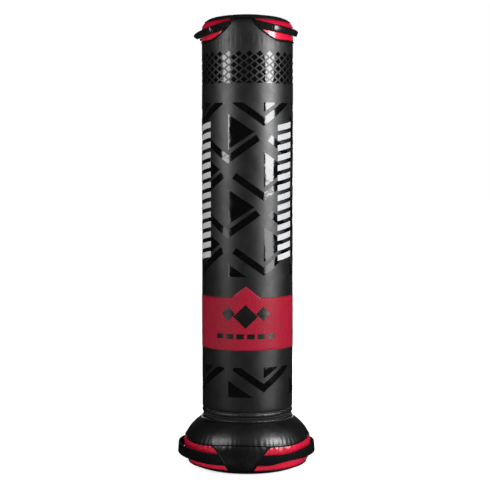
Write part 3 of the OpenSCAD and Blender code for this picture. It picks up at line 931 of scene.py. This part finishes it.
def soft_roll(name, node, count, seed):
    """A padded band round the neck, with a flat back and uneven folds."""
    low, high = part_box(node)[0].z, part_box(node)[1].z
    middle, half = (low + high) / 2, (high - low) / 2 - ROLL_TRIM
    inner = ROLL_INNER_R
    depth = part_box(node)[1].x - inner
    azimuth = np.radians(np.arange(360))
    angle = np.radians(np.concatenate([np.linspace(-90, 90, 15), [120, 180, 240]]))
    wrinkle = folds(azimuth[None], seed, count)
    reach = np.clip(np.cos(angle), 0, 1)[:, None]
    radius = inner + depth * reach * (1 + 0.16 * wrinkle + 0.10 * folds(azimuth[None], seed + 1, 2 * count))
    radius = radius - 0.0006 * (np.cos(angle)[:, None] < -0.1)
    wave = 0.0006 * folds(azimuth[None], seed + 2, 11)
    z = middle + half * np.sin(angle)[:, None] * (1 + 0.05 * wrinkle) + wave
    points = polar(azimuth[None], radius, z)
    rows, columns = points.shape[:2]
    faces = np.concatenate([grid_faces(rows, columns, True), ring_faces(rows, columns)])
    roll = new_object(name, points.reshape(-1, 3), faces, BLACK_VINYL)
    finish_piece(roll, "bag", [node])


def zip_teeth():
    """One ring of teeth that stand in turn a little above and below its middle."""
    low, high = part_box("zipper_chain")[0].z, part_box("zipper_chain")[1].z
    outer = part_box("zipper_chain")[1].x
    middle = (low + high) / 2
    points, faces = [], []
    count = 420
    for i in range(count):
        turn = 2 * math.pi * i / count
        half = 0.00075 / outer
        up = 0.0006 if i % 2 else -0.0006
        first = len(points)
        for r, z_half in ((outer - 0.0022, 0.0012), (outer - 0.0008, 0.0018), (outer, 0.0011)):
            for da, dz in ((-half, -z_half), (half, -z_half), (half, z_half), (-half, z_half)):
                points.append(polar(turn + da, r, middle + up + dz))
        for k in range(2):
            for a in range(4):
                b = (a + 1) % 4
                low_ring = first + 4 * k
                faces.append((low_ring + a, low_ring + b, low_ring + 4 + b, low_ring + 4 + a))
        faces.append((first + 3, first + 2, first + 1, first))
        faces.append((first + 8, first + 9, first + 10, first + 11))
    teeth = new_object("zip_teeth_row", points, faces, ZIP_TEETH)
    finish_piece(teeth, "bag", ["zipper_chain"])


# ---- handles ----

def ribbon(name, centres, wide, thick, width, thickness, paint, scale=None, skew=None):
    """A strap with rounded edges: one rounded section at each point of its path.
    skew gives how far a point u across the strap moves along it, at each share of its length."""
    corner = min(thickness / 2, 0.006) * 0.98
    section = []
    for sx, sy, start in ((1, 1, 0), (-1, 1, 90), (-1, -1, 180), (1, -1, 270)):
        for a in (0, 45, 90):
            section.append((
                sx * (width / 2 - corner) + corner * math.cos(rad(start + a)),
                sy * (thickness / 2 - corner) + corner * math.sin(rad(start + a)),
            ))
    section = np.array(section)
    if scale is None:
        scale = np.ones((len(centres), 2))
    across = section[None, :, 0, None] * scale[:, None, 0, None] * wide[:, None]
    through = section[None, :, 1, None] * scale[:, None, 1, None] * thick[:, None]
    rings = centres[:, None] + across + through
    if skew is not None:
        share = np.linspace(0, 1, len(centres))
        rings = rings + skew(section[None, :, 0], share[:, None])[..., None] * along(centres, False)[:, None]
    run = np.concatenate([[0], np.cumsum(np.linalg.norm(np.diff(centres, axis=0), axis=1))])
    uv = np.stack([np.broadcast_to(section[None, :, 0], rings.shape[:2]),
                   np.broadcast_to(run[:, None], rings.shape[:2])], axis=-1)
    count, sides = rings.shape[:2]
    faces = [tuple(f) for f in grid_faces(count, sides, True)]
    faces.append(tuple(reversed(range(sides))))
    faces.append(tuple((count - 1) * sides + i for i in range(sides)))
    obj = new_object(name, rings.reshape(-1, 3), faces, paint, uv.reshape(-1, 2))
    bm = bmesh.new()
    bm.from_mesh(obj.data)
    bmesh.ops.recalc_face_normals(bm, faces=bm.faces)
    bm.to_mesh(obj.data)
    bm.free()
    return obj


def handle(kind, label, shape, wall_radius, edge_angle):
    """The middle of a handle on its own body, and its two sewn ends that bend from the bag to it.
    edge_angle gives the azimuth of the seam that holds the ends, at each height."""
    side = -1 if label == "left" else 1
    body = f"{kind}_handle_{label}"
    pivot = JOINTS[f"{body}_swing"]["pos_m"]
    pivot_x, pivot_z = abs(pivot[0]), pivot[2]
    width, tilt, twist = shape["width"], rad(shape["tilt"]), rad(shape["twist"])
    half_span = shape["half_span"]
    thickness = 0.0036
    reach = (shape["wall"] + shape["standoff"] - pivot_x) / math.cos(tilt)
    arc = (half_span ** 2 + reach ** 2) / (2 * reach)
    half_angle = math.acos((arc - reach + shape["sewn"]) / arc)

    def world(points):
        return np.asarray(points, float) * [side, 1, 1]

    def arc_frames(turn):
        local_x = reach - arc + arc * np.cos(turn)
        centre = np.stack([pivot_x + local_x * math.cos(tilt), arc * np.sin(turn),
                           pivot_z - local_x * math.sin(tilt)], axis=-1)
        out = np.stack([np.cos(turn) * math.cos(tilt), np.sin(turn), -np.cos(turn) * math.sin(tilt)], axis=-1)
        up = np.broadcast_to([math.sin(tilt), 0.0, math.cos(tilt)], centre.shape)
        lean = twist * np.cos(turn / half_angle * np.pi / 2)[:, None] ** 2
        return centre, up * np.cos(lean) + out * np.sin(lean), out * np.cos(lean) - up * np.sin(lean)

    turn = np.linspace(-half_angle, half_angle, 97)
    centre, up, out = arc_frames(turn)
    scale = np.ones((97, 2))
    if kind == "top":
        scale[:, 0] = np.where(np.abs(turn) * arc < 0.170, 0.78, 1.0)
    else:
        scale[:, 0] = 1 - shape["pinch"] * np.exp(-((np.abs(turn) - rad(47)) / rad(15)) ** 2)
    middle = ribbon(f"{body}_webbing", world(centre), world(up), world(out), width, thickness, WEBBING,
                    scale=scale)
    finish_piece(middle, body, [f"{body}_strap"])

    for end, sign in (("front", -1), ("back", 1)):
        tips, tip_ups, tip_outs = arc_frames(sign * (half_angle - np.array([0.0, 0.01])))
        tip, tip_up = tips[0], tip_ups[0]
        heading = unit(tips[1] - tips[0])
        root_angle = float(edge_angle(pivot_z))
        root_r = float(wall_radius(pivot_z)) + 0.0012
        root = np.array([root_r * math.sin(root_angle), sign * root_r * math.cos(root_angle), pivot_z])
        leave = np.array([math.cos(root_angle), -sign * math.sin(root_angle), 0.0])
        slope = float(wall_radius(pivot_z + 0.005) - wall_radius(pivot_z - 0.005)) / 0.010
        root_up = unit(np.array([slope * math.sin(root_angle), sign * slope * math.cos(root_angle), 1.0]))
        length = np.linalg.norm(tip - root)
        t = np.linspace(0, 1, 21)[:, None]
        path = ((2 * t ** 3 - 3 * t ** 2 + 1) * root + (t ** 3 - 2 * t ** 2 + t) * leave * length
                + (3 * t ** 2 - 2 * t ** 3) * tip + (t ** 3 - t ** 2) * heading * length)
        ease = t * t * (3 - 2 * t)
        ups = unit((1 - ease) * root_up + ease * tip_up)
        tangent = along(path, False)
        ups = unit(ups - tangent * np.sum(ups * tangent, axis=1, keepdims=True))
        outs = np.cross(tangent, ups) * sign

        def skew(u, share):
            return root_r * (edge_angle(pivot_z + u) - root_angle) * (1 - share) ** 2

        flare = np.stack([1 + shape["flare"] * (1 - t[:, 0]), np.ones(21)], axis=-1)
        piece = ribbon(f"{body}_end_{end}", world(path), world(ups), world(outs), width, thickness, WEBBING,
                       scale=flare, skew=skew)
        u = np.linspace(-0.42, 0.42, 9) * width
        rows = []
        for k in (4, 7):
            share = k / 20
            shift = skew(u, share)[:, None] * tangent[k]
            rows.append(world(path[k] + u[:, None] * ups[k] + shift + outs[k] * (thickness / 2 + 0.0002)))
        thread = stitches(f"{body}_stitches_{end}", rows)
        for part in (piece, thread):
            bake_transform(part)
    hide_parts(f"{body}_anchors")

    if kind == "top":
        grip_half = 0.175 / arc
        turn = np.linspace(-grip_half, grip_half, 81)
        centre, up, out = arc_frames(turn)
        near_end = np.clip((1 - np.abs(np.linspace(-1, 1, 81))) / 0.06, 0, 1) ** 0.5
        scale = np.stack([0.88 + 0.12 * near_end, 0.5 + 0.5 * near_end], axis=-1)
        centre = centre + 0.0003 * np.sin(np.linspace(0, 26, 81))[:, None] * out
        grip = ribbon(f"{body}_sleeve", world(centre), world(up), world(out), 0.027, 0.0125, GRIP_VINYL,
                      scale=scale)
        smooth = grip.modifiers.new("soft", "SUBSURF")
        smooth.levels = 1
        smooth.render_levels = 1
        finish_piece(grip, body, [f"{body}_grip"])


# Metres and degrees. A strap is an arc over half_span that droops by tilt and leans by twist in its middle.
# Its ends take over within sewn of the pivot; flare widens their roots, and pinch narrows the strap.
TOP_SPAN = (COLUMN_R + 0.005) * math.sin(rad(72))
BASE_SPAN = (BASE_R + 0.009) * math.sin(rad(68))
TOP_SHAPE = {"wall": COLUMN_R, "half_span": TOP_SPAN, "width": 0.028, "sewn": 0.024}
BASE_SHAPE = {"wall": BASE_R, "half_span": BASE_SPAN, "twist": 0, "sewn": 0.030, "flare": 0.0}
HANDLES = (
    ("top", "left", {**TOP_SHAPE, "standoff": 0.020, "tilt": 14.5, "twist": 34, "flare": 0.05}),
    ("top", "right", {**TOP_SHAPE, "standoff": 0.011, "tilt": 10, "twist": 10, "flare": 0.30}),
    ("base", "left", {**BASE_SHAPE, "width": 0.042, "standoff": 0.023, "tilt": -3.5, "pinch": 0.0}),
    ("base", "right", {**BASE_SHAPE, "width": 0.039, "standoff": 0.015, "tilt": -4.5, "pinch": 0.28}),
)
SEAMS = {"top": (crown_radius, strip_half_angle), "base": (base_radius, panel_edge)}

column_cover()
top_panel()
top_foam_pad()
for side, label in ((-1, "left"), (1, "right")):
    top_window(side, label)
chevron_print()
diamond_print()
white_bars()
accent_band()
base_cover()
bottom_panel()
soft_roll("neck_collar_roll", "neck_collar", 43, 0.6)
soft_roll("skirt_collar_roll", "skirt_collar", 57, 2.4)
zip_teeth()
for kind, label, shape in HANDLES:
    handle(kind, label, shape, *SEAMS[kind])


# ---- CAD pieces that stay as they are ----

CAD_PAINTS = {
    "impact_foam": FOAM, "base_foam_ring": FOAM, "floor_pad": FOAM,
    "core_tube": CORE_PLASTIC, "core_top_cap": CORE_PLASTIC, "core_flange": CORE_PLASTIC,
    "base_board": PLYWOOD, "flange_bolts": ZINC_STEEL, "flange_nuts": ZINC_STEEL,
    "ballast_liner": LINER_FILM, "ballast_sand": DRY_SAND,
    "zipper_tapes": ZIP_TAPE, "zipper_garage": ZIP_TAPE,
    "zipper_slider": BLACK_METAL, "zipper_pull": BLACK_METAL,
}
for node, paint in CAD_PAINTS.items():
    mesh = frame["nodes"][node].data
    mesh.materials.clear()
    mesh.materials.append(paint)


def add_floor():
    """A pale floor that glows with painted light. It is dimmed to 0.8 near the bag as painted shade and is a
    little over white further out, where it meets the backdrop. Real shadows show only faintly on it.
    """
    bpy.ops.mesh.primitive_circle_add(vertices=96, radius=30, fill_type="NGON", location=(0, 0, -0.0005))
    floor = bpy.context.object
    floor.name = "floor"
    material = bpy.data.materials.new("floor")
    material.use_nodes = True
    tree = material.node_tree
    far = add_node(tree, "VectorMath", {0: add_node(tree, "TexCoord", {}).outputs["Object"]})
    far.operation = "LENGTH"
    # Painted light: the emission rises from 0.8 near the bag to just over white by 0.9 m. The dim middle is
    # painted shade round the bag.
    painted_floor_glow = color_ramp(tree, far.outputs["Value"], ((0.2, (0.80, 0.80, 0.80)), (0.9, (1.02, 1.02, 1.02))))
    set_inputs(tree.nodes["Principled BSDF"], {
        "Base Color": (0.8, 0.8, 0.8, 1), "Roughness": 0.9, "Specular IOR Level": 0.0,
        "Emission Strength": 1.0, "Emission Color": painted_floor_glow,
    })
    floor.data.materials.append(material)
    floor.visible_glossy = False


add_floor()
